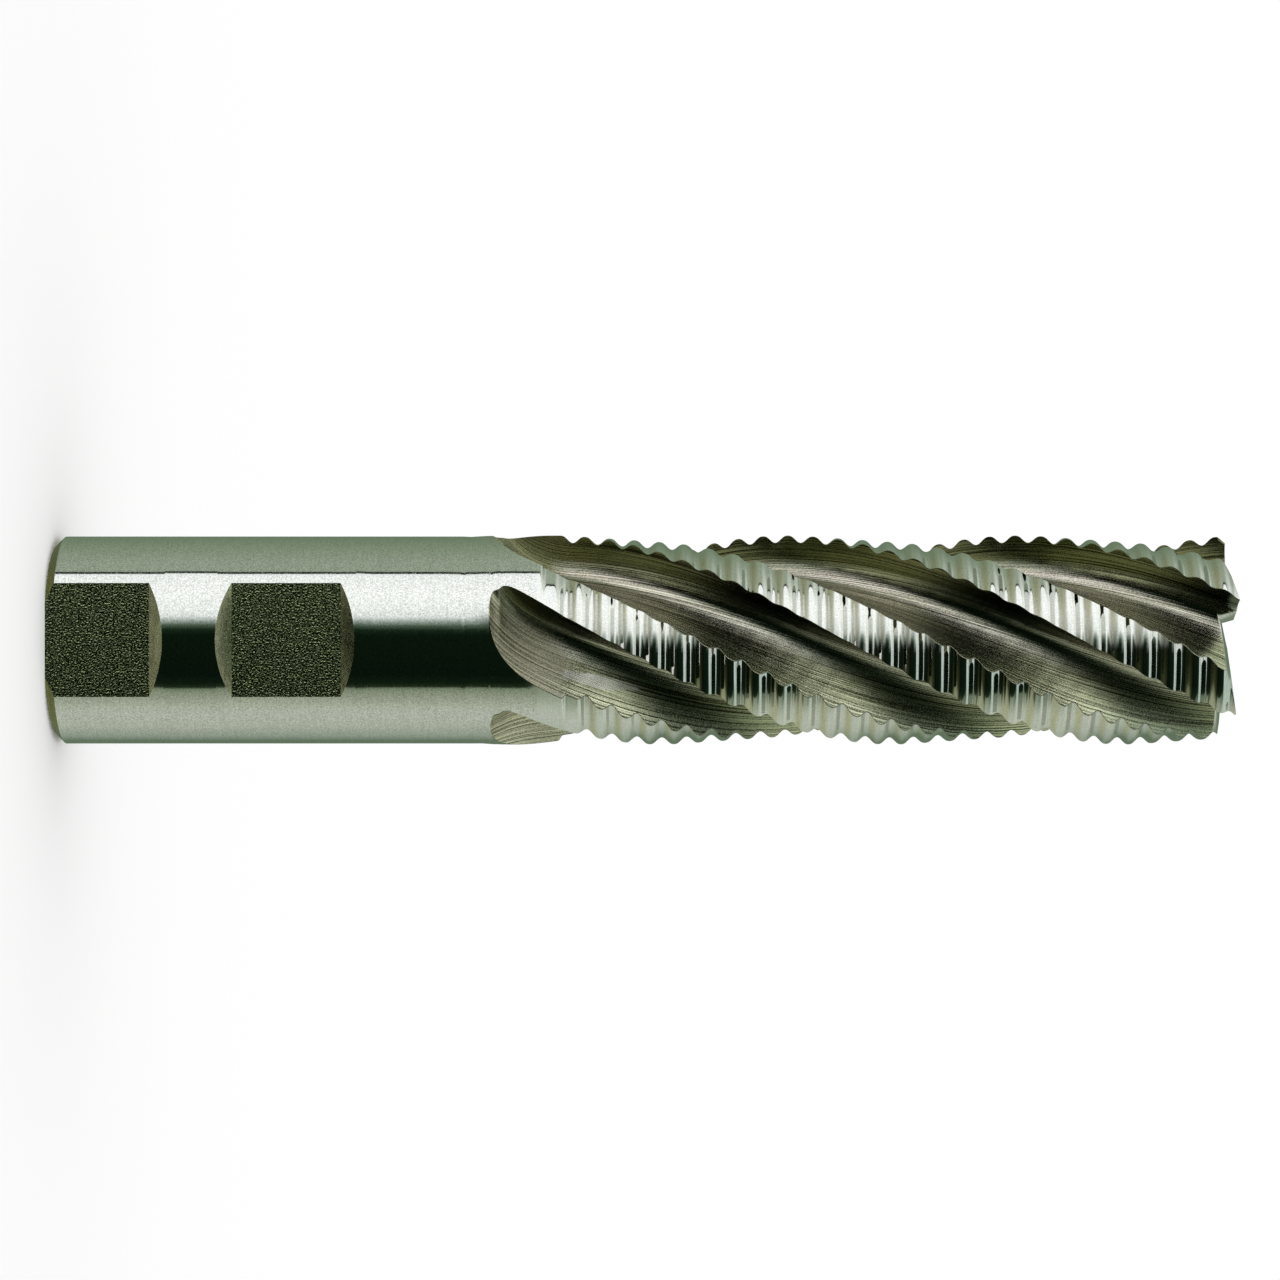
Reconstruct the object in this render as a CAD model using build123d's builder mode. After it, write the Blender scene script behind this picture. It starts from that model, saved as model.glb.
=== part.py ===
# Roughing end mill: a one-inch shank with two clamping flats, and five helical teeth
# whose lands are ground into round knuckles that break the chips.
# The tool stands on its shank end, the axis is Z and the flats face -Y.
# Lengths are millimetres and angles are degrees, unless a comment says otherwise.
from build123d import *

import os
from math import atan2, ceil, cos, degrees, hypot, pi, radians, sin, sqrt, tan

# Whole tool
overall_length = 143.4
cutting_length = 83.1
shank_diameter = 25.4
cutting_diameter = 25.65

# Shank
end_chamfer = 1.1
flat_depth = 2.0
flat_length = 13.08
first_flat_centre = 5.95
second_flat_centre = 28.96
flat_ramp_angle = 48
lathe_centre_diameter = 5.0
lathe_centre_pilot = 2.4
lathe_centre_depth = 5.5
seam_angle = -22.5

# Teeth
tooth_count = 5
helix_lead = 141.8
first_edge_height = 60.3
rake_angle = 8
land_angle = 27
core_diameter = 15.0

# Form of a flute: how far its floor and back are pulled, as shares of its depth,
# its angle and the core's radius
rake_share = 0.60
rake_pull = 1.18
floor_pull = 0.90
floor_share = 0.37
back_lift = 0.20
back_share = 0.77
heel_overrun_angle = 4

# Knuckles
knuckle_pitch = 3.03
knuckle_depth = 0.85
crest_fullness = 1.3
land_relief = 0.75
first_valley_height = 63.2
plain_land_length = 1.9
relief_lead_length = 3.1
relief_ramp_length = 0.6

# Where the flutes run out into the shank
full_depth_length = 2.75
runout_radius = 8.3
runout_swivel = 22.5
runout_step = 0.65
blend_length = 1.6

# Cutting end
primary_relief_angle = 12
primary_relief_width = 3.5
secondary_relief_angle = 20
corner_bevel = 0.9
recess_diameter = 12.4
recess_floor_diameter = 8.0
recess_depth = 2.8
tip_centre_diameter = 5.0
tip_centre_pilot = 3.0
tip_centre_depth = 4.5
centre_drill_angle = 60

# Flat faces that stand for the curved ones of a tooth: the flute's meet at these shares of its curve
sections_per_knuckle = 4
land_facets = 2
flute_corners = (0, 0.28, 0.5, 0.74, 1)
overrun = 1.2

# Worked out from the sizes above
shank_radius = shank_diameter / 2
cutting_radius = cutting_diameter / 2
core_radius = core_diameter / 2
flute_depth = cutting_radius - core_radius
tooth_step = 360 / tooth_count
flute_angle = tooth_step - land_angle
cut_start = overall_length - cutting_length
full_depth_height = cut_start + full_depth_length
relief_start = cut_start + plain_land_length - relief_lead_length


def polar(radius, angle):
    return (radius * cos(radians(angle)), radius * sin(radians(angle)))


def turned(point, angle):
    x, y = point
    c, s = cos(radians(angle)), sin(radians(angle))
    return (x * c - y * s, x * s + y * c)


def between(a, b, share):
    return (a[0] + (b[0] - a[0]) * share, a[1] + (b[1] - a[1]) * share)


def on_rake_face(depth):
    rake = radians(rake_angle)
    return (cutting_radius - depth * cos(rake), -depth * sin(rake))


def bezier_point(points, t):
    while len(points) > 1:
        points = [between(a, b, t) for a, b in zip(points, points[1:])]
    return points[0]


# One flute seen from the tip, with its cutting edge on +X: down the hooked rake face,
# round the floor and up the back to the next tooth's heel. Both ends overrun the tooth.
flute_control = [
    on_rake_face(-overrun),
    on_rake_face(rake_share * flute_depth),
    on_rake_face(rake_pull * flute_depth),
    polar(floor_pull * core_radius, floor_share * flute_angle),
    polar(core_radius + back_lift * flute_depth, back_share * flute_angle),
    polar(cutting_radius + overrun, flute_angle + heel_overrun_angle),
]


def edge_angle(height):
    return 180 + 360 * (height - first_edge_height) / helix_lead


def lifted_control(height):
    # The wheel swings out of the flute on a radius, slanted across the flute.
    lifted = []
    for x, y in flute_control:
        along = (height - full_depth_height) * cos(radians(runout_swivel)) + y * sin(radians(runout_swivel))
        along = max(min(along, 0), -runout_radius)
        lifted.append((x + runout_radius - sqrt(runout_radius**2 - along**2), y))
    return lifted


def first_valley(tooth):
    # Each tooth's knuckles are shifted by an equal share of the pitch.
    lowest = cut_start + plain_land_length
    valley = first_valley_height - knuckle_pitch * tooth / tooth_count
    return valley + knuckle_pitch * ceil((lowest - valley) / knuckle_pitch)


def land_radius(tooth, height, behind):
    # Round knuckles, and a land that falls away behind the edge from just before the first one
    phase = (height - first_valley(tooth)) / knuckle_pitch
    wave = ((1 + cos(2 * pi * phase)) / 2) ** crest_fullness if phase > -0.5 else 0
    ramp = (height - first_valley(tooth) + relief_lead_length) / relief_ramp_length
    relief = land_relief * min(max(ramp, 0), 1)
    return cutting_radius - knuckle_depth * wave - relief * behind / land_angle


def flute_points(height):
    control = lifted_control(height)
    return [bezier_point(control, share) for share in flute_corners]


def meeting_point(outer, inner, land_height):
    # Where the first or last facet of a flute passes through the land
    for _ in range(40):
        middle = between(outer, inner, 0.5)
        if hypot(*middle) > land_height(degrees(atan2(middle[1], middle[0]))):
            outer = middle
        else:
            inner = middle
    return middle


def tooth_points(tooth, height):
    # Corners of one tooth's land from heel to edge, then of the flute in front of it
    flute = flute_points(height)
    heel = meeting_point(flute[-1], flute[-2], lambda angle: land_radius(tooth, height, tooth_step - angle))
    edge = meeting_point(flute[0], flute[1], lambda angle: land_radius(tooth, height, -angle))
    heel_angle = degrees(atan2(heel[1], heel[0])) - tooth_step
    land_turn = degrees(atan2(edge[1], edge[0])) - heel_angle
    angles = [heel_angle + land_turn * i / land_facets for i in range(land_facets)]
    land = [polar(land_radius(tooth, height, -angle), angle) for angle in angles]
    points = land + [edge] + flute[1:-1]
    return [turned(point, edge_angle(height) + tooth * tooth_step) for point in points]


# Where the lifted flute has just left the shank, and where the shank starts to widen to the cut
runout_end = relief_start
while min(hypot(*point) for point in flute_points(runout_end)) < cutting_radius:
    runout_end -= runout_step / 10
widening_start = runout_end - blend_length
print("round shank wall from", end_chamfer, "to", round(widening_start, 3))

runout_count = ceil((relief_start - runout_end) / runout_step) + 1
runout_heights = [relief_start - i * runout_step for i in range(runout_count + 1)]

# Sections keep step with the knuckles, so that every knuckle of a tooth comes out alike.
# None lies within a tenth of a step of the first or the last.
section_step = knuckle_pitch / sections_per_knuckle
lowest_step = ceil((relief_start - first_valley_height) / section_step + 0.1)
highest_step = ceil((overall_length - first_valley_height) / section_step - 0.1)
section_heights = [first_valley_height + i * section_step for i in range(lowest_step, highest_step)]
section_heights = [relief_start] + section_heights + [overall_length]

with BuildPart() as blank:
    # Round shank with its chamfered end and lathe centre, up to where the lands are relieved
    lathe_cone = (lathe_centre_diameter - lathe_centre_pilot) / 2 / tan(radians(centre_drill_angle / 2))
    with BuildSketch(Plane.XZ):
        with BuildLine():
            Polyline(
                (0, lathe_centre_depth),
                (lathe_centre_pilot / 2, lathe_centre_depth),
                (lathe_centre_pilot / 2, lathe_cone),
                (lathe_centre_diameter / 2, 0),
                (shank_radius - end_chamfer, 0),
                (shank_radius, end_chamfer),
                (shank_radius, widening_start),
                (cutting_radius, runout_end),
                (cutting_radius, relief_start),
                (0, relief_start),
                close=True,
            )
        make_face()
    revolve(axis=Axis.Z)

with BuildPart() as flute_runout:
    # What the wheel takes from the blank as it swings out of one flute
    clear_of_tool = polar(2 * cutting_diameter, flute_angle / 2)
    for height in reversed(runout_heights):
        with BuildSketch(Plane.XY.offset(height)):
            with BuildLine():
                outline = flute_points(height) + [clear_of_tool]
                Polyline(*[turned(point, edge_angle(height)) for point in outline], close=True)
            make_face()
    loft(ruled=True)

with BuildPart() as relief_wedge:
    # What the end relief takes from behind one end cutting edge, in that tooth's own sector
    reach = cutting_radius + overrun
    drop = primary_relief_width * tan(radians(primary_relief_angle))
    full_drop = drop + (reach - primary_relief_width) * tan(radians(secondary_relief_angle))
    with BuildSketch(Plane.XY.offset(overall_length - full_drop)):
        with BuildLine():
            far = polar(reach / cos(radians(tooth_step / 2)), -tooth_step / 2)
            Polyline((0, 0), polar(reach, -tooth_step), far, (reach, 0), close=True)
        make_face()
    extrude(amount=full_drop + overrun)
    with BuildSketch(Plane.YZ):
        with BuildLine():
            Polyline(
                (0, overall_length),
                (-primary_relief_width, overall_length - drop),
                (-reach, overall_length - full_drop),
                (-reach, overall_length + overrun),
                (0, overall_length + overrun),
                close=True,
            )
        make_face()
    extrude(amount=2 * reach, both=True, mode=Mode.INTERSECT)

with BuildPart() as tip_grind:
    # All that is ground off the tip: bevelled corners, the recess with its lathe centre,
    # and the relief behind each tooth's end cutting edge
    recess_floor = overall_length - recess_depth
    tip_cone = (tip_centre_diameter - tip_centre_pilot) / 2 / tan(radians(centre_drill_angle / 2))
    with BuildSketch(Plane.XZ):
        with BuildLine():
            Polyline(
                (cutting_radius - corner_bevel - overrun, overall_length + overrun),
                (cutting_radius + overrun, overall_length + overrun),
                (cutting_radius + overrun, overall_length - corner_bevel - overrun),
                close=True,
            )
        make_face()
        with BuildLine():
            Polyline(
                (0, overall_length + overrun),
                (recess_diameter / 2, overall_length + overrun),
                (recess_diameter / 2, overall_length),
                (recess_floor_diameter / 2, recess_floor),
                (tip_centre_diameter / 2, recess_floor),
                (tip_centre_pilot / 2, recess_floor - tip_cone),
                (tip_centre_pilot / 2, recess_floor - tip_centre_depth),
                (0, recess_floor - tip_centre_depth),
                close=True,
            )
        make_face()
    revolve(axis=Axis.Z)
    with Locations(Rotation(0, 0, edge_angle(overall_length))):
        with PolarLocations(0, tooth_count):
            add(relief_wedge.part)

with BuildPart() as end_mill:
    # Blank, turned so that the seam of its round wall lies clear of the flats
    add(blank.part, rotation=(0, 0, seam_angle))

    # Clamping flats: the first runs off the shank end
    for centre, lower_ramp in ((first_flat_centre, False), (second_flat_centre, True)):
        floor = -(shank_radius - flat_depth)
        outside = -(shank_radius + overrun)
        spread = (floor - outside) / tan(radians(flat_ramp_angle))
        low = centre - flat_length / 2 if lower_ramp else -overrun
        high = centre + flat_length / 2
        with BuildSketch(Plane.YZ):
            with BuildLine():
                Polyline(
                    (floor, low),
                    (floor, high),
                    (outside, high + spread),
                    (outside, low - spread if lower_ramp else low),
                    close=True,
                )
            make_face()
        extrude(amount=shank_diameter, both=True, mode=Mode.SUBTRACT)

    # Run-outs of the flutes
    with PolarLocations(0, tooth_count):
        add(flute_runout.part, mode=Mode.SUBTRACT)

    # Fluted and knuckled length, one section at each height up to the tip
    for height in section_heights:
        with BuildSketch(Plane.XY.offset(height)):
            with BuildLine():
                corners = [tooth_points(tooth, height) for tooth in range(tooth_count)]
                Polyline(*[point for tooth_corners in corners for point in tooth_corners], close=True)
            make_face()
    loft(ruled=True)

    add(tip_grind.part, mode=Mode.SUBTRACT)

end_mill.part.label = "end_mill"

os.makedirs("parts", exist_ok=True)
export_step(end_mill.part, "parts/end_mill.step")
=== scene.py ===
# Roughing end mill standing on its shank end, seen square to its two clamping flats.
import math

import bmesh
import bpy
import numpy as np
from mathutils import Matrix


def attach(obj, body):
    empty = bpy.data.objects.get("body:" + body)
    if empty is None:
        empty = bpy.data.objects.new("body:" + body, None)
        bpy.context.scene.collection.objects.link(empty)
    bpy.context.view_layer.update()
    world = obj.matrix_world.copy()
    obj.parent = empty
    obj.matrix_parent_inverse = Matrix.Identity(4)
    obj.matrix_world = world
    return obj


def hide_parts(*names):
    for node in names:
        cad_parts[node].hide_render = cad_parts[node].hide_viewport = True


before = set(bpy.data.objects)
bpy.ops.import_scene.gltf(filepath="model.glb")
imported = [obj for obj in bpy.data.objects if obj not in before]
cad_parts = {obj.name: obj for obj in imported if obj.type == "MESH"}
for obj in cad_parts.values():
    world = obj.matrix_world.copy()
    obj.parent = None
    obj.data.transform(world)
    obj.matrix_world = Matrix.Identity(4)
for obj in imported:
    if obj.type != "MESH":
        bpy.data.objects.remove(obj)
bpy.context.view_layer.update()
print("frame loaded")

mm = 0.001
near = 0.001  # sizes that differ by less than this, in millimetres, count as the same


def hexToLinear(text):
    levels = [int(text[i : i + 2], 16) / 255 for i in (0, 2, 4)]
    linear = [c / 12.92 if c <= 0.04045 else ((c + 0.055) / 1.055) ** 2.4 for c in levels]
    return (*linear, 1.0)


def addNode(tree, kind, settings=None, inputs=None):
    made = tree.nodes.new(kind)
    for name, value in (settings or {}).items():
        setattr(made, name, value)
    for name, value in (inputs or {}).items():
        if isinstance(value, bpy.types.NodeSocket):
            tree.links.new(value, made.inputs[name])
        else:
            made.inputs[name].default_value = value
    return made


# Camera: level, square to the flats and rolled so that the tool lies across the picture
view = {
    "distance": 475 * mm,  # from the tool's axis
    "height": 71.42 * mm,
    "nearest": 10 * mm,
    "lens": 108.84,
    "sensor": 36,
}
camera = bpy.data.objects.new("camera", bpy.data.cameras.new("camera"))
camera.data.lens = view["lens"]
camera.data.sensor_width = view["sensor"]
camera.data.clip_start = view["nearest"]
camera.matrix_world = Matrix(
    (
        (0, -1, 0, 0),
        (0, 0, -1, -view["distance"]),
        (1, 0, 0, view["height"]),
        (0, 0, 0, 1),
    )
)
bpy.context.scene.collection.objects.link(camera)
bpy.context.scene.camera = camera

# Fluted and knuckled length, in millimetres and degrees, seen from the tip
cutter = {
    "overallLength": 143.4,
    "cuttingLength": 83.1,
    "cuttingRadius": 12.825,
    "shankRadius": 12.7,
    "teeth": 5,
    "lead": 141.8,
    "firstEdgeHeight": 60.3,
    "landAngle": 27,
    "coreRadius": 7.5,
    # Form of a flute: the pulls, the lift and the shares are parts of its depth, its angle or the
    # core's radius, and both overruns carry its curve clear of the lands
    "rakeAngle": 8,
    "rakeShare": 0.60,
    "rakePull": 1.18,
    "floorPull": 0.90,
    "floorShare": 0.37,
    "backLift": 0.20,
    "backShare": 0.77,
    "heelOverrun": 4,
    "overrun": 1.2,
    # Knuckles on the lands, and the relief behind the edge
    "knucklePitch": 3.03,
    "knuckleDepth": 0.85,
    "crestFullness": 1.3,
    "firstValley": 63.2,
    "plainLand": 1.9,
    "landRelief": 0.75,
    "reliefLead": 3.1,
    "reliefRamp": 0.6,
    # Where the flutes run out, and where the shank grows to the cutting diameter
    "fullDepth": 2.75,
    "runoutRadius": 8.3,
    "runoutSwivel": 22.5,
    "swingLimit": 0.98,  # share of the radius that the wheel swings at most
    "blend": 5,
    "blendBelow": 0.6,  # share of the blend that lies below the flutes
    # Fineness of the mesh
    "edgeRounding": 0.07,
    "ringsPerKnuckle": 20,
    "blendRings": 12,
    "firstRings": (-0.02, 0, 0.01, 0.025, 0.05),  # from where a flute opens, then by openingStep
    "openingStep": 0.07,
    "openingLength": 0.9,
    "openingMargin": 0.03,
    "landPoints": 8,
    "flutePoints": 19,
    "fluteWidth": 20,  # a flute's finish is laid out over this, from its edge to the next heel
}
cutStart = cutter["overallLength"] - cutter["cuttingLength"]
fullDepthHeight = cutStart + cutter["fullDepth"]
toothStep = 360 / cutter["teeth"]
fluteDepth = cutter["cuttingRadius"] - cutter["coreRadius"]
fluteAngle = toothStep - cutter["landAngle"]


def polar(radius, angle):
    return np.array([radius * math.cos(math.radians(angle)), radius * math.sin(math.radians(angle))])


def onRakeFace(depth):
    rake = math.radians(cutter["rakeAngle"])
    return np.array([cutter["cuttingRadius"] - depth * math.cos(rake), -depth * math.sin(rake)])


# Control points of one flute: down the rake face, round the floor and up to the next heel
fluteControl = np.array(
    [
        onRakeFace(-cutter["overrun"]),
        onRakeFace(cutter["rakeShare"] * fluteDepth),
        onRakeFace(cutter["rakePull"] * fluteDepth),
        polar(cutter["floorPull"] * cutter["coreRadius"], cutter["floorShare"] * fluteAngle),
        polar(cutter["coreRadius"] + cutter["backLift"] * fluteDepth, cutter["backShare"] * fluteAngle),
        polar(cutter["cuttingRadius"] + cutter["overrun"], fluteAngle + cutter["heelOverrun"]),
    ]
)


def eased(share):
    # Goes from 0 to 1 with a level start and end
    share = min(max(share, 0), 1)
    return share * share * (3 - 2 * share)


def bezierWeights(t):
    t = np.asarray(t, float)[..., None]
    k = np.arange(6)
    choose = np.array([1, 5, 10, 10, 5, 1])
    return choose * t**k * (1 - t) ** (5 - k)


def edgeAngle(height):
    return 180 + 360 * (height - cutter["firstEdgeHeight"]) / cutter["lead"]


def liftedControl(height):
    # The grinding wheel swings out of the flute on a radius, slanted across the flute
    swivel = math.radians(cutter["runoutSwivel"])
    radius = cutter["runoutRadius"]
    along = (height - fullDepthHeight) * math.cos(swivel) + fluteControl[:, 1] * math.sin(swivel)
    along = np.clip(along, -cutter["swingLimit"] * radius, 0)
    lifted = fluteControl.copy()
    lifted[:, 0] += radius - np.sqrt(radius**2 - along**2)
    return lifted


def fluteEndHeight():
    # Goes down the run-out until the flute's floor is out of the metal
    weights = bezierWeights(np.linspace(0, 1, 81))
    height, step = fullDepthHeight, 0.05
    while True:
        points = weights @ liftedControl(height)
        if np.hypot(points[:, 0], points[:, 1]).min() > cutter["cuttingRadius"] - step:
            return height
        height -= step


fluteEnd = fluteEndHeight()
blendStart = fluteEnd - cutter["blendBelow"] * cutter["blend"]


def outerRadius(height):
    growth = cutter["cuttingRadius"] - cutter["shankRadius"]
    return cutter["shankRadius"] + growth * eased((height - blendStart) / cutter["blend"])


def firstValley(tooth):
    valley = cutter["firstValley"] - cutter["knucklePitch"] * tooth / cutter["teeth"]
    lowest = cutStart + cutter["plainLand"]
    return valley + cutter["knucklePitch"] * math.ceil((lowest - valley) / cutter["knucklePitch"])


def landRadius(tooth, height, behind):
    past = height - firstValley(tooth)
    phase = past / cutter["knucklePitch"]
    wave = ((1 + math.cos(2 * math.pi * phase)) / 2) ** cutter["crestFullness"] if phase >= -0.5 else 0
    relief = cutter["landRelief"] * eased((past + cutter["reliefLead"]) / cutter["reliefRamp"])
    return outerRadius(height) - cutter["knuckleDepth"] * wave - relief * behind / cutter["landAngle"]


def crossing(values, start, step):
    # Index, as a fraction, at which the values first turn negative going from start
    i = start
    while values[i] > 0:
        i += step
    return i - step * values[i] / (values[i] - values[i - step])


scanPoints = 241
scanWeights = bezierWeights(np.linspace(0, 1, scanPoints))
leastFlute = 0.004  # a flute shallower than this is still closed


def fluteSpan(tooth, height):
    # The two ends, as shares of the flute's curve, where it leaves the lands on either side
    points = scanWeights @ liftedControl(height)
    radius = np.hypot(points[:, 0], points[:, 1])
    angle = np.degrees(np.arctan2(points[:, 1], points[:, 0]))
    deepest = int(radius.argmin())
    if radius[deepest] > outerRadius(height) - leastFlute:
        return None
    ahead = (tooth + 1) % cutter["teeth"]
    front = radius - landRadius(tooth, height, -angle)
    back = radius - landRadius(ahead, height, toothStep - angle)
    front[deepest] = back[deepest] = -1
    last = scanPoints - 1
    return crossing(front, 0, 1) / last, crossing(back, last, -1) / last


def closedFlute(height, spread):
    # Before a flute opens, its columns stand close together on the shank where it will do so
    t = firstSpan[0] + (firstSpan[1] - firstSpan[0]) * spread
    points = bezierWeights(t) @ liftedControl(firstOpen)
    return points / np.hypot(points[:, 0], points[:, 1])[:, None] * outerRadius(height)


def ringAt(height):
    # One ring of points, tooth by tooth: the land from heel to edge, then the flute ahead of it.
    # The second list says how far each point lies across its land or flute, in millimetres.
    spread = np.linspace(0, 1, cutter["flutePoints"])
    spread = 0.5 * spread + 0.5 * (3 * spread**2 - 2 * spread**3)  # closer together at the edges
    radius = outerRadius(height)
    spans = [fluteSpan(tooth, height) for tooth in range(cutter["teeth"])]
    shares = [span[0] + (span[1] - span[0]) * spread if span else spread for span in spans]
    control = liftedControl(height)
    flutes = [
        bezierWeights(share) @ control if span else closedFlute(height, spread)
        for span, share in zip(spans, shares)
    ]
    ring, across = [], []
    for tooth in range(cutter["teeth"]):
        turn = edgeAngle(height) + tooth * toothStep
        heel = flutes[tooth - 1][-1]
        edge = flutes[tooth][0]
        heelAngle = math.degrees(math.atan2(heel[1], heel[0])) - toothStep
        frontAngle = math.degrees(math.atan2(edge[1], edge[0]))
        rounding = math.degrees(cutter["edgeRounding"] / radius)
        angles = np.linspace(heelAngle + rounding, frontAngle - rounding, cutter["landPoints"])
        land = np.array([polar(landRadius(tooth, height, -angle), angle) for angle in angles])
        flute = flutes[tooth].copy()
        if spans[tooth]:  # its first and last points step back, which rounds the edges
            for end, inner in ((0, 1), (-1, -2)):
                step = flute[inner] - flute[end]
                length = np.hypot(*step)
                flute[end] += step / length * min(cutter["edgeRounding"], 0.4 * length)
        points = np.vstack([land, flute])
        c, s = math.cos(math.radians(turn)), math.sin(math.radians(turn))
        ring.append(points @ np.array([[c, s], [-s, c]]))
        across += [*(np.radians(angles) * radius), *(shares[tooth] * cutter["fluteWidth"])]
    return np.vstack(ring), np.array(across)


firstOpen = fluteEnd - 1
while not fluteSpan(0, firstOpen):
    firstOpen += 0.01
firstSpan = fluteSpan(0, firstOpen)


def ringHeights():
    # Whole steps of a knuckle down from the tip, so that every knuckle gets the same rings.
    # Below them the rings crowd together where the flutes open.
    step = cutter["knucklePitch"] / cutter["ringsPerKnuckle"]
    count = math.floor((cutter["overallLength"] - firstOpen - cutter["openingLength"]) / step)
    heights = [cutter["overallLength"] - i * step for i in range(count, -1, -1)]
    before, *first, start = [firstOpen + rise for rise in cutter["firstRings"]]
    opening = np.arange(start, heights[0] - cutter["openingMargin"], cutter["openingStep"])
    closed = np.linspace(blendStart, before, cutter["blendRings"])
    return [*closed, *first, *opening, *heights]


# Surfaces of the tool, in the order of its material slots
surfaces = ["shank", "flat", "ramp", "chamfer", "endFace", "land", "flute", "tipGrind"]
landCount = cutter["landPoints"]
perTooth = landCount + cutter["flutePoints"]
mmPerUv = 100  # millimetres in one unit of the map
plainCollar = 1.3  # ground with the lands, below the cutting length


def meshFromRings(rings, kindOf, uvOf, liftOf, closed):
    # Rings of equal length, joined by quads; closed also covers both ends
    around = len(rings[0])
    points = np.vstack(rings) * mm
    rows = len(rings)
    ring = np.arange(rows - 1)[:, None] * around
    column = np.arange(around)[None, :]
    after = (column + 1) % around
    quads = np.stack([ring + column, ring + after, ring + around + after, ring + around + column], -1)
    faces = quads.reshape(-1, 4).tolist()
    if closed:
        faces.append(list(range(around))[::-1])
        faces.append(list(range((rows - 1) * around, rows * around)))
    mesh = bpy.data.meshes.new("rings")
    mesh.from_pydata(points.tolist(), [], faces)
    kinds = [surfaces.index(kindOf(i, k)) for i in range(rows - 1) for k in range(around)]
    kinds += [surfaces.index("tipGrind")] * (len(faces) - len(kinds))
    mesh.polygons.foreach_set("material_index", kinds)
    corners = np.zeros(len(mesh.loops), np.int32)
    mesh.loops.foreach_get("vertex_index", corners)
    uv = np.array([uvOf(i, k) for i in range(rows) for k in range(around)])
    uv = (uv[corners] / mmPerUv).ravel().astype(np.float32)
    mesh.uv_layers.new(name="grind").data.foreach_set("uv", uv)
    lift = np.array([liftOf(i) for i in range(rows)]).repeat(around)
    mesh.attributes.new("lift", "FLOAT", "POINT").data.foreach_set("value", lift.astype(np.float32))
    return mesh


def meshFromCutter(heights, closed):
    made = [ringAt(height) for height in heights]
    rings = [np.column_stack([ring, np.full(len(ring), h)]) for (ring, _), h in zip(made, heights)]

    def kindOf(i, k):
        if k % perTooth < landCount - 1:
            return "land" if heights[i] > cutStart - plainCollar else "shank"
        return "flute" if heights[i] >= firstOpen - near else "shank"

    def uvOf(i, k):
        return made[i][1][k], heights[i]

    def liftOf(i):
        return min(max((fullDepthHeight - heights[i]) / (fullDepthHeight - fluteEnd), 0), 1)

    mesh = meshFromRings(rings, kindOf, uvOf, liftOf, closed)
    around = len(rings[0])
    pairs = np.zeros(2 * len(mesh.edges), np.int32)
    mesh.edges.foreach_get("vertices", pairs)
    pairs = pairs.reshape(-1, 2)
    upright = np.abs(pairs[:, 0] - pairs[:, 1]) == around
    onEdge = np.isin(pairs[:, 0] % around % perTooth, [0, landCount - 1, landCount, perTooth - 1])
    opened = np.array(heights)[pairs.min(axis=1) // around] >= firstOpen - near
    sharp = mesh.attributes.new("sharp_edge", "BOOLEAN", "EDGE")
    sharp.data.foreach_set("value", upright & onEdge & opened)
    return mesh


def newObject(name, mesh):
    made = bpy.data.objects.new(name, mesh)
    bpy.context.scene.collection.objects.link(made)
    return made


# Cutting end: relief behind each end edge, bevelled corners, and a recess with the lathe centre
tip = {
    "primaryAngle": 12,
    "primaryWidth": 3.5,
    "secondaryAngle": 20,
    "cornerBevel": 0.9,
    "recessRadius": 6.2,
    "recessFloorRadius": 4.0,
    "recessFlare": 1.57,  # how much wider the recess's cone is at the top of its tool
    "recessDepth": 2.8,
    "centreRadius": 2.5,
    "pilotRadius": 1.5,
    "centreDepth": 4.5,
    "centreHalfAngle": 30,
    "length": 12,
    "clearance": 2,  # by which each tool stands clear of the metal
    "overlap": 0.03,
    "reach": 21.0,
    "recessSegments": 96,
    "bevelSegments": 144,
}


def reliefWedge(turn):
    # What the two relief slopes take away behind one end cutting edge, as one closed solid.
    # It is a hair wider than its tooth's sector, so that no fin is left between two of them.
    top, reach, width = cutter["overallLength"], tip["reach"], tip["primaryWidth"]
    sector = -(toothStep + tip["overlap"])
    inner = width / math.tan(math.radians(-sector))
    outline = [(0, 0), (inner, -width), tuple(polar(reach, sector)), tuple(polar(reach, sector / 2))]
    outline += [(reach, -width), (reach, 0)]
    primary = math.tan(math.radians(tip["primaryAngle"]))
    secondary = math.tan(math.radians(tip["secondaryAngle"]))
    c, s = math.cos(math.radians(turn)), math.sin(math.radians(turn))
    points = []
    for x, y in outline:
        drop = primary * min(-y, width) + secondary * max(-y - width, 0)
        points.append(((x * c - y * s) * mm, (x * s + y * c) * mm, (top - drop) * mm))
    points += [(x, y, (top + tip["clearance"]) * mm) for x, y, _ in points]
    faces = [(5, 4, 1, 0), (4, 3, 2, 1), (6, 7, 8, 9, 10, 11)]
    faces += [(i, (i + 1) % 6, (i + 1) % 6 + 6, i + 6) for i in range(6)]
    mesh = bpy.data.meshes.new("reliefWedge")
    mesh.from_pydata(points, [], faces)
    return mesh


def latheMesh(profile, segments, isRing):
    # Turns a profile round the axis: a ring closes on itself, and a plug is closed by its two ends
    points, faces = [], []
    for radius, height in profile:
        angles = [2 * math.pi * i / segments for i in range(segments)]
        points += [(radius * math.cos(a) * mm, radius * math.sin(a) * mm, height * mm) for a in angles]
    rows = len(profile)
    if not isRing:
        faces = [list(range(segments)), list(range((rows - 1) * segments, rows * segments))[::-1]]
    for row in range(rows if isRing else rows - 1):
        after = (row + 1) % rows * segments
        for i in range(segments):
            j = (i + 1) % segments
            faces.append((row * segments + i, after + i, after + j, row * segments + j))
    mesh = bpy.data.meshes.new("lathed")
    mesh.from_pydata(points, [], faces)
    return mesh


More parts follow.
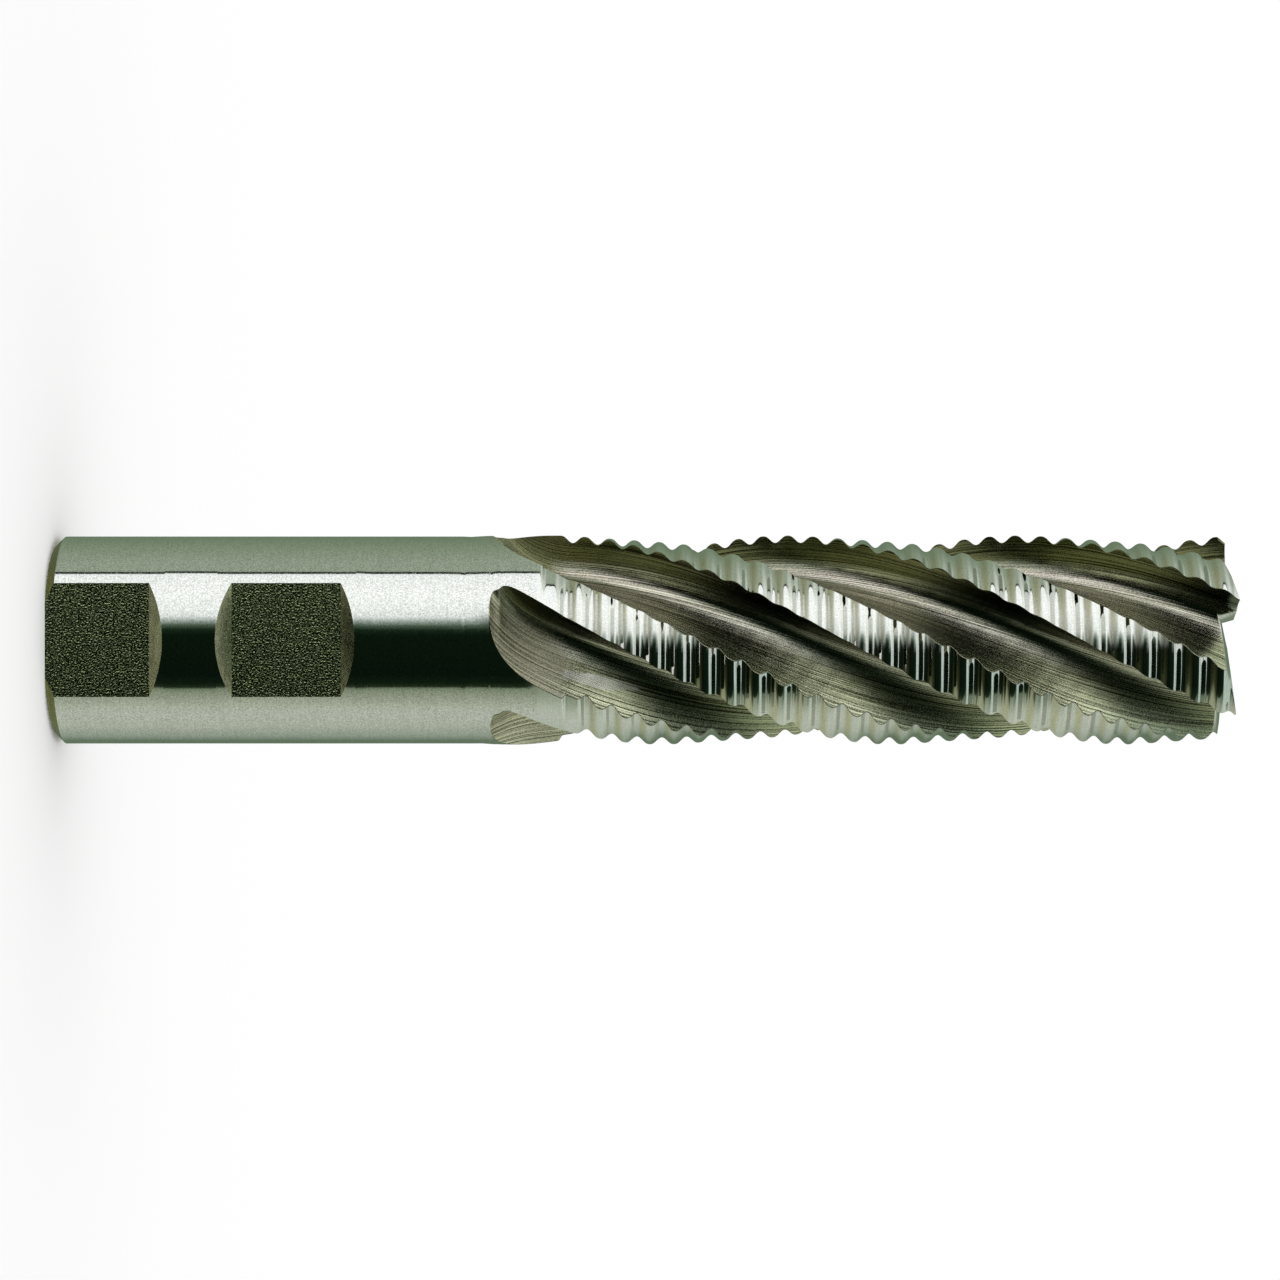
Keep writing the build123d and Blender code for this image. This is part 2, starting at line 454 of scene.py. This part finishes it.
def centreCone(sizes):
    # Depth of a lathe centre's cone
    return (sizes["centreRadius"] - sizes["pilotRadius"]) / math.tan(math.radians(sizes["centreHalfAngle"]))


def tipTools():
    top, clear = cutter["overallLength"], tip["clearance"]
    tools = [reliefWedge(edgeAngle(top) + tooth * toothStep) for tooth in range(cutter["teeth"])]
    floor = top - tip["recessDepth"]
    recess = [
        (tip["recessRadius"] + tip["recessFlare"], top + clear),
        (tip["recessFloorRadius"], floor),
        (tip["centreRadius"], floor),
        (tip["pilotRadius"], floor - centreCone(tip)),
        (tip["pilotRadius"], floor - tip["centreDepth"]),
    ]
    tools.append(latheMesh(recess, tip["recessSegments"], False))
    edge, bevel = cutter["cuttingRadius"], tip["cornerBevel"]
    corner = [
        (edge - bevel - clear, top + clear),
        (edge + clear, top + clear),
        (edge + clear, top - bevel - clear),
    ]
    tools.append(latheMesh(corner, tip["bevelSegments"], True))
    return tools


def cutWith(body, tools):
    slot = surfaces.index("tipGrind")
    for tool in tools:
        tool.polygons.foreach_set("material_index", [slot] * len(tool.polygons))
        for _ in surfaces:
            tool.materials.append(None)
        other = newObject("tool", tool)
        bm = bmesh.new()
        bm.from_mesh(tool)
        bmesh.ops.recalc_face_normals(bm, faces=bm.faces)
        bm.to_mesh(tool)
        bm.free()
        cut = body.modifiers.new("cut", "BOOLEAN")
        cut.operation = "DIFFERENCE"
        cut.solver = "EXACT"
        cut.object = other
        bpy.context.view_layer.update()
        made = bpy.data.meshes.new_from_object(body.evaluated_get(bpy.context.evaluated_depsgraph_get()))
        body.modifiers.clear()
        body.data = made
        bpy.data.objects.remove(other)


# Shank, with the two clamping flats on the camera's side
shank = {
    "radius": 12.7,
    "chamfer": 1.1,
    "flatFloor": 10.7,
    "flats": ((-2.0, 12.49), (22.42, 35.50)),
    "rampAngle": 48,
    "centreRadius": 2.5,
    "pilotRadius": 1.2,
    "centreDepth": 5.5,
    "centreHalfAngle": 30,
    "leastHalfAngle": 0.6,  # kept for the flats' columns where there is no flat
    "chordPoints": 25,
    "arcPoints": 127,
    "rampRings": 22,
    "flatRings": 9,
    "plainRings": 8,
}
rampSlope = math.tan(math.radians(shank["rampAngle"]))


def floorAt(height):
    # Distance from the axis to the nearest flat or ramp at this height
    beyond = [max(low - height, height - high, 0) for low, high in shank["flats"]]
    return shank["flatFloor"] + rampSlope * min(beyond)


def shankRing(height, radius, cutByFlat=True):
    # The ring's first points lie on a chord, which is the flat, and the rest on the round
    floor = floorAt(height) if cutByFlat else radius
    least = math.radians(shank["leastHalfAngle"])
    half = max(math.acos(min(floor / radius, 1)), least)
    chord = np.linspace(-math.sin(half), math.sin(half), shank["chordPoints"]) * radius
    flat = np.column_stack([chord, np.full(len(chord), -radius * math.cos(half))])
    angles = np.linspace(half, 2 * math.pi - half, shank["arcPoints"] + 2)[1:-1]
    arc = np.column_stack([np.sin(angles), -np.cos(angles)]) * radius
    ring = np.vstack([flat, arc])
    return np.column_stack([ring, np.full(len(ring), height)])


def shankHeights(top):
    # Rings lie close on the ramps, so that their curved outlines come out round
    radius = shank["radius"]
    widest = math.degrees(math.acos(shank["flatFloor"] / radius))
    halves = np.radians(np.linspace(0, widest, shank["rampRings"]))
    rises = (radius * np.cos(halves) - shank["flatFloor"]) / rampSlope
    (_, firstHigh), (secondLow, secondHigh) = shank["flats"]
    heights = [firstHigh + rise for rise in rises[::-1]]
    heights += [secondLow - rise for rise in rises]
    heights += [secondHigh + rise for rise in rises[::-1]]
    heights += list(np.linspace(shank["chamfer"], firstHigh, shank["flatRings"])[:-1])
    heights += list(np.linspace(secondLow, secondHigh, shank["flatRings"])[1:-1])
    heights += list(np.linspace(secondHigh + rises[0], top, shank["plainRings"])[1:])
    return sorted(heights)


def meshFromShank(top):
    radius = shank["radius"]
    rings = [
        shankRing(shank["centreDepth"], 0.02, False),
        shankRing(shank["centreDepth"], shank["pilotRadius"], False),
        shankRing(centreCone(shank), shank["pilotRadius"], False),
        shankRing(0, shank["centreRadius"], False),
        shankRing(0, radius - shank["chamfer"]),
    ]
    inner = len(rings)
    heights = shankHeights(top)
    rings += [shankRing(height, radius) for height in heights]
    levels = [0] * inner + heights

    def kindOf(i, k):
        if i < inner - 1:
            return "endFace"
        middle = 0.5 * (levels[i] + levels[i + 1])
        floor = floorAt(middle)
        if k < shank["chordPoints"] - 1 and floor < radius:
            return "flat" if floor < shank["flatFloor"] + near else "ramp"
        return "chamfer" if i == inner - 1 else "shank"

    def uvOf(i, k):
        return rings[i][k][0], rings[i][k][2]

    return meshFromRings(rings, kindOf, uvOf, lambda i: 0, False)


# How the shaft, the fluted length and the tip are put together
joining = {
    "gap": 0.5,  # between the shaft and the fluted length, closed by a bridge of faces
    "margin": 0.1,
    "tipCrease": 25,  # an edge that turns by more degrees than this stays sharp
    "shankCrease": 18,
}


def buildEndMill():
    heights = ringHeights()
    split = next(i for i, h in enumerate(heights) if h > cutter["overallLength"] - tip["length"])
    tipPart = newObject("tipPart", meshFromCutter(heights[split:], True))
    cutWith(tipPart, tipTools())
    print("tip cut", len(tipPart.data.polygons))
    lower = meshFromCutter(heights[: split + 1], False)
    gap, margin = joining["gap"], joining["margin"]
    shaft = meshFromShank(blendStart - gap)
    bm = bmesh.new()
    bm.from_mesh(tipPart.data)
    cap = [f for f in bm.faces if all(v.co.z < (heights[split] + near) * mm for v in f.verts)]
    bmesh.ops.delete(bm, geom=cap, context="FACES")
    bm.from_mesh(lower)
    bm.from_mesh(shaft)
    seam = [v for v in bm.verts if abs(v.co.z - heights[split] * mm) < near * mm]
    bmesh.ops.remove_doubles(bm, verts=seam, dist=2 * near * mm)
    joint = [
        e for e in bm.edges
        if e.is_boundary
        and abs(e.verts[0].co.z - blendStart * mm) < (gap + margin) * mm
        and abs(e.verts[1].co.z - e.verts[0].co.z) < near * mm
    ]
    bridged = bmesh.ops.bridge_loops(bm, edges=joint)
    for face in bridged["faces"]:
        face.material_index = surfaces.index("shank")
    bm.normal_update()
    grindSlot = surfaces.index("tipGrind")
    shaftTop = (blendStart - gap - 2 * margin) * mm
    for face in bm.faces:
        face.smooth = True
    for edge in bm.edges:
        if len(edge.link_faces) != 2:
            continue
        turn = math.degrees(edge.calc_face_angle(0))
        atTip = grindSlot in [face.material_index for face in edge.link_faces]
        onShank = edge.verts[0].co.z < shaftTop
        if (atTip and turn > joining["tipCrease"]) or (onShank and turn > joining["shankCrease"]):
            edge.smooth = False
    mesh = bpy.data.meshes.new("endMill")
    bm.to_mesh(mesh)
    bm.free()
    bpy.data.objects.remove(tipPart)
    return newObject("endMill", mesh)


endMill = buildEndMill()
triangles = sum(len(face.vertices) - 2 for face in endMill.data.polygons)
print("end mill", len(endMill.data.vertices), "points", triangles, "triangles")

# Finishes of ground high-speed steel. Lines and grains are in millimetres, depths in microns;
# grainShare says how much of the tint follows the grain, the rest follows the lines.
# Real grinding marks are 0.02 to 0.05 mm wide. That is too fine to show, so all are drawn coarser.
usualTintSpan = 0.17  # a smaller span of the noise gives the tint more contrast
noiseSpan = (0.3, 0.7)  # most of a noise texture's values lie between these
finishes = {
    # Cylindrical grinding: bright, with a fine grain and faint marks that run round the shank
    "shank": {
        "light": "e2e1dc", "dark": "aeaea8", "grainShare": 0.85, "tintSpan": 0.15, "roughness": (0.04, 0.08),
        "lines": (6, 6, 0.25), "lineDepth": 0.3, "grain": 0.18, "grainDepth": 1,
    },
    # Flats ground across with a coarse wheel: dark, torn grain with pale specks
    "flat": {
        "light": "faffc6", "dark": "121a0a", "grainShare": 0.9, "tintSpan": 0.09, "roughness": (0.06, 0.14),
        "lines": (0.5, 8, 0.2), "lineDepth": 8, "grain": 0.21, "grainDepth": 68,
    },
    # Ramps left by the wheel's shoulder: paler and smoother than the flats
    "ramp": {
        "light": "b8ba96", "dark": "72765a", "grainShare": 0.5, "roughness": (0.16, 0.28),
        "lines": (1.5, 8, 0.5), "lineDepth": 4, "grain": 0.2, "grainDepth": 10,
    },
    # Turned before hardening, which left a dull olive film
    "chamfer": {
        "light": "96946a", "dark": "5e5d40", "grainShare": 0.5, "roughness": (0.22, 0.32),
        "lines": (10, 10, 0.3), "lineDepth": 1, "grain": 0.35, "grainDepth": 5,
    },
    # Faced and centre-drilled on a lathe: even and dull
    "endFace": {
        "light": "a8a698", "dark": "8b897b", "grainShare": 0.5, "roughness": (0.25, 0.4),
        "lines": (3, 3, 3), "lineDepth": 3, "grain": 0.4, "grainDepth": 5,
    },
    # Form-ground lands: smoothest, the knuckles are dressed into the wheel
    "land": {
        "light": "dededa", "dark": "bdbdb6", "grainShare": 0.8, "roughness": (0.05, 0.09),
        "lines": (8, 8, 0.2), "lineDepth": 0.4, "grain": 0.15, "grainDepth": 0.8,
    },
    # Flutes ground along the helix: long scratches over an olive film that heat and coolant left. Across
    # the flute the film's ramps also carry painted shade, dark down the rake face, and painted highlight
    # streaks that grow paler toward the heel. Where the wheel swung out the metal is torn and pale.
    "flute": {
        "light": "ffffff", "dark": "525246", "grainShare": 0.28, "tintSpan": 0.09, "roughness": (0.1, 0.18),
        "lines": (0.18, 30, 1), "lineDepth": 25, "grain": 0.16, "grainDepth": 8,
        "alongHelix": True, "runoutGrain": 2, "heelRoughness": 0.12, "runoutRoughness": 0.18,
        # Film tint with painted light: the dark stops from the edge to 4.4 mm are painted shade on the rake
        # face, and the pale stops further out are partly painted highlight streaks. The run-out's ramp is
        # darker on its rake side in the same way.
        "across": ((0, "a0a27c"), (1.0, "84865f"), (4.4, "80825c"), (5.5, "ced0bc"), (7.5, "e6dcd0"),
                   (9.5, "c8c2b0"), (12, "e2dccc"), (14.3, "b4b494"), (17, "d8dab8"), (20, "e6e8cc")),
        "runoutFilmAndPaintedLight": ((0, "888a64"), (7, "8c8d68"), (10, "ccc6aa"), (14, "f2eace"), (20, "f4eed6")),
        # A patch that the wheel left smooth: its middle, half sizes, slant and waves of its edge
        "patch": ((15.5, 66.4), (0.8, 4.6), 9.5, 1.2), "patchShade": "b6b5a8",
        # Spans over which the patch's edge, the torn run-out and the duller heel come in
        "patchEdge": (1.55, 1.45), "tornSpan": (0.02, 0.3), "heelSpan": (0.42, 0.6),
    },
    # Relief faces ground with a cup wheel: bright, with straight marks
    "tipGrind": {
        "light": "d6d6ce", "dark": "a9a99e", "grainShare": 0.5, "roughness": (0.12, 0.2),
        "lines": (0.5, 8, 0.5), "lineDepth": 2, "grain": 0.3, "grainDepth": 3,
    },
}


def groundSteel(name, look):
    # A tint and two bumps follow the wheel's lines and the torn grain. The flutes also get their
    # film, with painted shade down the rake face and painted highlights, by its place across the flute,
    # and a rougher finish toward the heel and the run-out.
    material = bpy.data.materials.new(name + "GroundSteel")
    material.use_nodes = True
    tree = material.node_tree
    tree.nodes.clear()
    bodyPlace = addNode(tree, "ShaderNodeTexCoord").outputs["Object"]
    place, toMm = bodyPlace, 1 / mm
    if look.get("alongHelix"):
        place, toMm = addNode(tree, "ShaderNodeUVMap", {"uv_map": "grind"}).outputs["UV"], mmPerUv
    scaleLines = tuple(toMm / size for size in look["lines"])
    linePlace = addNode(tree, "ShaderNodeVectorMath", {"operation": "MULTIPLY"}, {0: place, 1: scaleLines})
    lines = addNode(tree, "ShaderNodeTexNoise", {}, {"Vector": linePlace.outputs[0], "Scale": 1, "Detail": 4})
    grainScale = 1 / (look["grain"] * mm)
    grain = addNode(tree, "ShaderNodeTexNoise", {}, {"Vector": bodyPlace, "Scale": grainScale, "Detail": 3})
    both = addNode(
        tree,
        "ShaderNodeMix",
        {"data_type": "FLOAT"},
        {0: look["grainShare"], 2: lines.outputs["Fac"], 3: grain.outputs["Fac"]},
    )
    span = look.get("tintSpan", usualTintSpan)
    tint = addNode(
        tree,
        "ShaderNodeMapRange",
        {},
        {"Value": both.outputs[0], "From Min": 0.5 - span, "From Max": 0.5 + span},
    )
    colour = addNode(
        tree,
        "ShaderNodeMix",
        {"data_type": "RGBA"},
        {0: tint.outputs["Result"], 6: hexToLinear(look["dark"]), 7: hexToLinear(look["light"])},
    )
    height = grain.outputs["Fac"]
    smoothest, roughest = look["roughness"]
    rough = addNode(
        tree,
        "ShaderNodeMapRange",
        {},
        {
            "Value": height,
            "From Min": noiseSpan[0],
            "From Max": noiseSpan[1],
            "To Min": smoothest,
            "To Max": roughest,
        },
    ).outputs["Result"]
    if "across" in look:
        split = addNode(tree, "ShaderNodeSeparateXYZ", {}, {"Vector": place})
        share = addNode(
            tree,
            "ShaderNodeMath",
            {"operation": "MULTIPLY"},
            {0: split.outputs["X"], 1: toMm / cutter["fluteWidth"]},
        )
        # Ramps of film tint that also hold painted shade and painted highlights, by place across the flute
        filmAndPaintedLightRamps = []
        for key in ("across", "runoutFilmAndPaintedLight"):
            filmAndPaintedLight = addNode(tree, "ShaderNodeValToRGB", {}, {"Fac": share.outputs[0]})
            stops = filmAndPaintedLight.color_ramp.elements
            stops.remove(stops[1])
            for position, shade in look[key]:
                stops.new(position / cutter["fluteWidth"]).color = hexToLinear(shade)
            filmAndPaintedLightRamps.append(filmAndPaintedLight)
        lift = addNode(tree, "ShaderNodeAttribute", {"attribute_name": "lift"}).outputs["Fac"]
        low, high = look["tornSpan"]
        torn = addNode(tree, "ShaderNodeMapRange", {}, {"Value": lift, "From Min": low, "From Max": high})
        filmAndPaintedLight = addNode(
            tree,
            "ShaderNodeMix",
            {"data_type": "RGBA"},
            {0: torn.outputs["Result"], 6: filmAndPaintedLightRamps[0].outputs["Color"], 7: filmAndPaintedLightRamps[1].outputs["Color"]},
        )
        colour = addNode(
            tree,
            "ShaderNodeMix",
            {"data_type": "RGBA", "blend_type": "MULTIPLY"},
            {0: 1, 6: colour.outputs[2], 7: filmAndPaintedLight.outputs[2]},
        )
        middle, half, slant, wave = look["patch"]
        oval = addNode(
            tree,
            "ShaderNodeMapping",
            {"vector_type": "TEXTURE"},
            {
                "Vector": place,
                "Location": (middle[0] / toMm, middle[1] / toMm, 0),
                "Rotation": (0, 0, math.radians(slant)),
                "Scale": (half[0] / toMm, half[1] / toMm, 1),
            },
        )
        wavy = addNode(
            tree, "ShaderNodeTexNoise", {}, {"Vector": bodyPlace, "Scale": 1 / (wave * mm), "Detail": 2}
        )
        reach = addNode(tree, "ShaderNodeVectorMath", {"operation": "LENGTH"}, {0: oval.outputs["Vector"]})
        reach = addNode(tree, "ShaderNodeMath", {}, {0: reach.outputs["Value"], 1: wavy.outputs["Fac"]})
        low, high = look["patchEdge"]
        patch = addNode(
            tree, "ShaderNodeMapRange", {}, {"Value": reach.outputs[0], "From Min": low, "From Max": high}
        )
        colour = addNode(
            tree,
            "ShaderNodeMix",
            {"data_type": "RGBA"},
            {0: patch.outputs["Result"], 6: colour.outputs[2], 7: hexToLinear(look["patchShade"])},
        )
        deeper = addNode(
            tree,
            "ShaderNodeMapRange",
            {},
            {"Value": torn.outputs["Result"], "To Min": 1, "To Max": look["runoutGrain"]},
        )
        height = addNode(
            tree, "ShaderNodeMath", {"operation": "MULTIPLY"}, {0: height, 1: deeper.outputs["Result"]}
        ).outputs[0]
        low, high = look["heelSpan"]
        duller = addNode(
            tree,
            "ShaderNodeMapRange",
            {},
            {"Value": share.outputs[0], "From Min": low, "From Max": high, "To Max": look["heelRoughness"]},
        )
        rough = addNode(tree, "ShaderNodeMath", {}, {0: rough, 1: duller.outputs["Result"]}).outputs[0]
        rough = addNode(
            tree,
            "ShaderNodeMath",
            {"operation": "MULTIPLY_ADD"},
            {0: torn.outputs["Result"], 1: look["runoutRoughness"], 2: rough},
        ).outputs[0]
    relief = None
    for bump, depth in ((lines.outputs["Fac"], look["lineDepth"]), (height, look["grainDepth"])):
        shape = {"Height": bump, "Strength": 1, "Distance": depth * 0.001 * mm}
        if relief is not None:
            shape["Normal"] = relief
        relief = addNode(tree, "ShaderNodeBump", {}, shape).outputs["Normal"]
    steel = addNode(
        tree,
        "ShaderNodeBsdfPrincipled",
        {},
        {"Base Color": colour.outputs[2], "Metallic": 1, "Roughness": rough, "Normal": relief},
    )
    addNode(tree, "ShaderNodeOutputMaterial", {}, {"Surface": steel.outputs["BSDF"]})
    return material


for name in surfaces:
    endMill.data.materials.append(groundSteel(name, finishes[name]))
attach(endMill, "root")
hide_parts("end_mill")
print("finishes set")

# Studio: white surroundings, a pale floor, and a dome of paper panels that only the metal mirrors.
# Each row of panels stands at its elevation, and is listed by the angle round the tool, with 0 at
# the camera and 90 up the picture. The empty row has the shades of the level one. A panel's shade
# is what bright steel shows of it, and glow makes up for what the steel swallows. The shades began
# as the photo's mean colours, sorted by the direction that the metal mirrors there. Most were then
# moved, to bring the render's means near the photo's, and some are still those means.
studio = {
    "domeRadius": 3000,
    "panelStep": 5,
    "level": 13,
    "glow": 1.66,
    "floorSize": 6000,
    "rows": (
        (-75, ((-180, "bcc0ac"), (-160, "a4a88e"), (-140, "80866a"), (-110, "8e9174"), (-80, "5c6246"),
               (-60, "343a24"), (-20, "1e2315"), (14, "1a2012"), (28, "3c4234"), (45, "7f8270"),
               (60, "9d9f8c"), (85, "b3b19d"), (110, "8a8c70"), (150, "969a80"), (180, "bcc0ac"))),
        (-33, ((-180, "6c7860"), (-140, "90967a"), (-110, "a4a78f"), (-80, "9ca188"), (-70, "5c6350"),
               (-60, "161b0f"), (-40, "060a05"), (9, "080c07"), (22, "b4bab4"), (55, "dadbd5"),
               (80, "9ca28e"), (110, "848a71"), (140, "6c735a"), (180, "6c7860"))),
        (-13, ()),
        (13, ((-180, "4c5b4a"), (-150, "5c6b58"), (-133, "879286"), (-110, "a4aca0"), (-90, "abb2a8"),
              (-80, "a5ada0"), (-70, "959e8e"), (-60, "808a78"), (-55.3, "707d68"), (-53, "1e2a1c"),
              (-48, "0e1a0f"), (-38, "08120a"), (5, "0a150b"), (11, "16261a"), (15.5, "465648"),
              (20, "909c96"), (25.5, "dce2e2"), (33, "e8eeee"), (50, "f4f8fa"), (72, "ecf0f2"),
              (77.9, "e8eef0"), (78.3, "0c140c"), (80.9, "0c140c"), (81.3, "8d998a"), (95, "8c9888"),
              (120, "7c8a76"), (150, "667560"), (180, "4c5b4a"))),
        (49, ((-180, "707e6c"), (-140, "b0b6a8"), (-110, "b8bcb0"), (-82, "9aa496"), (-64, "2f3f32"),
              (-50, "121c14"), (2, "121c14"), (20, "c4cac6"), (28, "f2f5f4"), (70, "f2f5f4"), (84, "d6dad4"),
              (110, "c0c7c0"), (140, "949f94"), (180, "707e6c"))),
        (62, ((-180, "a4b4ac"), (-140, "a4b4ac"), (-110, "a0b4aa"), (-80, "a0b2aa"), (-60, "b4c4be"),
              (-20, "bccac6"), (0, "bccac6"), (25, "d4dcda"), (55, "e4e8e6"), (80, "ecf0ee"),
              (110, "eef2f0"), (140, "c8d2ce"), (180, "a4b4ac"))),
        (82, ((-180, "565c40"), (-150, "7c8a78"), (-110, "a4b4aa"), (-75, "8c9a94"), (-50, "98a6a2"),
              (0, "98a6a2"), (60, "c8d0cc"), (110, "dce0dc"), (150, "8c988a"), (180, "565c40"))),
    ),
}


def panelColour(panels, angle):
    # Shade at an angle, between the two panels on either side of it
    high = next(i for i, panel in enumerate(panels) if panel[0] >= angle and i > 0)
    (start, startShade), (end, endShade) = panels[high - 1], panels[high]
    share = (angle - start) / (end - start)
    first = np.array(hexToLinear(startShade)[:3])
    second = np.array(hexToLinear(endShade)[:3])
    return (*((first + (second - first) * share) * studio["glow"]), 1.0)


def buildDome():
    level = dict(studio["rows"])[studio["level"]]
    angles = {*np.arange(-180.0, 180.0, studio["panelStep"])}
    angles.update(float(panel[0]) for panel in level[1:-1])
    angles = sorted(angles)
    radius, centre = studio["domeRadius"], cutter["overallLength"] / 2
    points, colours, faces = [], [], []
    for elevation, panels in studio["rows"]:
        flat = radius * math.cos(math.radians(elevation))
        height = centre + radius * math.sin(math.radians(elevation))
        for angle in angles:
            turn = math.radians(angle)
            points.append((-flat * math.sin(turn) * mm, -flat * math.cos(turn) * mm, height * mm))
            colours.append(panelColour(panels or level, angle))
    around = len(angles)
    for row in range(len(studio["rows"]) - 1):
        for i in range(around):
            a, b = row * around + i, row * around + (i + 1) % around
            faces.append((a, b, b + around, a + around))
    mesh = bpy.data.meshes.new("panelDome")
    mesh.from_pydata(points, [], faces)
    shades = mesh.color_attributes.new("panel", "FLOAT_COLOR", "POINT")
    shades.data.foreach_set("color", np.array(colours, np.float32).ravel())
    material = bpy.data.materials.new("paperPanel")
    material.use_nodes = True
    tree = material.node_tree
    tree.nodes.clear()
    shade = addNode(tree, "ShaderNodeAttribute", {"attribute_name": "panel"})
    glow = addNode(tree, "ShaderNodeEmission", {}, {"Color": shade.outputs["Color"], "Strength": 1})
    addNode(tree, "ShaderNodeOutputMaterial", {}, {"Surface": glow.outputs["Emission"]})
    mesh.materials.append(material)
    dome = newObject("panelDome", mesh)
    dome.visible_camera = False
    dome.visible_diffuse = False
    dome.visible_shadow = False
    dome.visible_transmission = False
    return dome


def buildFloor():
    mesh = bpy.data.meshes.new("floor")
    half = studio["floorSize"] / 2 * mm
    corners = [(-half, -half, 0), (half, -half, 0), (half, half, 0), (-half, half, 0)]
    mesh.from_pydata(corners, [], [(0, 1, 2, 3)])
    material = bpy.data.materials.new("whitePaper")
    material.use_nodes = True
    tree = material.node_tree
    tree.nodes.clear()
    paper = addNode(tree, "ShaderNodeBsdfDiffuse", {}, {"Color": hexToLinear("ffffff")})
    addNode(tree, "ShaderNodeOutputMaterial", {}, {"Surface": paper.outputs["BSDF"]})
    mesh.materials.append(material)
    floor = newObject("floor", mesh)
    floor.visible_glossy = False
    return floor


buildDome()
buildFloor()

world = bpy.data.worlds.new("white")
world.use_nodes = True
surroundings = world.node_tree.nodes["Background"].inputs
surroundings["Color"].default_value = hexToLinear("ffffff")
surroundings["Strength"].default_value = 1
bpy.context.scene.world = world
bpy.context.scene.view_settings.view_transform = "Standard"
print("studio set")
